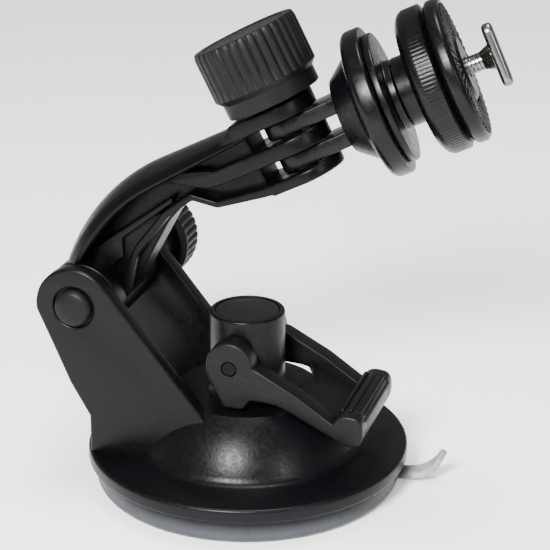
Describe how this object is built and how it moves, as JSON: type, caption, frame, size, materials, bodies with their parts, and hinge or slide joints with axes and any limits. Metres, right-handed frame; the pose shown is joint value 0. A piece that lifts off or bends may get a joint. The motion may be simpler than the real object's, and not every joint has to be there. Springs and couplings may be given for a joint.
{
  "type": "suction cup dash camera mount",
  "caption": "Lever-locked suction cup with a tilting arm, a panning and swivelling head, a clamp wheel and a T-shaped camera stud, each clamped by its own knob.",
  "frame": {"origin": "centre of the suction pad's flat underside", "axes": "+Z away from the surface that the pad sticks to, +X to the side that the lever's tip and the arm point to, +Y along the arm's tilt axis from the bolt's head to the rear knob"},
  "size_m": [0.1006, 0.072, 0.1103],
  "materials": {
    "matte_black": "fine moulded texture",
    "gloss_black": "polished moulding",
    "pad": "clear soft vinyl, greyed by the glue face under it",
    "steel": "plated",
    "brass": "plain"
  },
  "bodies": {
    "base": {"base_cover": "matte_black", "suction_pad": "pad", "post_cap": "matte_black", "tilt_bolt": "steel", "ratchet_ring": "matte_black", "tilt_washer": "steel", "return_spring": "steel"},
    "stem": {"stem": "steel", "lever_pin": "steel"},
    "lever": {"cam_lever": "matte_black"},
    "rear_knob": {"tilt_knob": "matte_black", "tilt_knob_insert": "brass"},
    "arm": {"arm": "gloss_black", "pan_bolt": "steel", "pan_washer": "steel"},
    "top_knob": {"pan_knob": "matte_black", "pan_knob_insert": "brass"},
    "head": {"head_yoke": "matte_black", "swivel_screw": "steel"},
    "swivel": {"swivel_hub": "matte_black", "t_stud": "steel"},
    "wheel": {"thumb_wheel": "matte_black"},
    "clamp": {"clamp_disc": "matte_black"}
  },
  "joints": [
    {"name": "stem_lift", "type": "slide", "parent": "base", "child": "stem", "axis": [0, 0, 1], "range_m": [-0.0024, 0], "deforming": ["return_spring"]},
    {"name": "lever_turn", "type": "hinge", "parent": "stem", "child": "lever", "pos_m": [0, 0, 0.0308], "axis": [0, -1, 0], "range_deg": [0, 95]},
    {"name": "rear_knob_turn", "type": "hinge", "parent": "base", "child": "rear_knob", "pos_m": [-0.0341, 0, 0.0426], "axis": [0, 1, 0], "continuous": true},
    {"name": "arm_tilt", "type": "hinge", "parent": "base", "child": "arm", "pos_m": [-0.0341, 0, 0.0426], "axis": [0, -1, 0], "range_deg": [-10, 80]},
    {"name": "top_knob_turn", "type": "hinge", "parent": "arm", "child": "top_knob", "pos_m": [0.01633, 0, 0.0683], "axis": [-0.454, 0, 0.891], "continuous": true},
    {"name": "head_pan", "type": "hinge", "parent": "arm", "child": "head", "pos_m": [0.01633, 0, 0.0683], "axis": [-0.454, 0, 0.891], "range_deg": [-80, 60]},
    {"name": "head_swivel", "type": "hinge", "parent": "head", "child": "swivel", "pos_m": [0.01025, 0, 0.08024], "axis": [0.8951, 0.1821, 0.4071], "continuous": true},
    {"name": "wheel_turn", "type": "hinge", "parent": "swivel", "child": "wheel", "pos_m": [0.01025, 0, 0.08024], "axis": [0.8951, 0.1821, 0.4071], "range_deg": [0, 720]},
    {"name": "clamp_advance", "type": "slide", "parent": "swivel", "child": "clamp", "axis": [0.8951, 0.1821, 0.4071], "range_m": [0, 0.0026]}
  ],
  "couplings": [
    {"joint": "lever_turn", "follows": "stem_lift", "rad_per_m": -690.6},
    {"joint": "clamp_advance", "follows": "wheel_turn", "m_per_rad": 0.00019894}
  ]
}
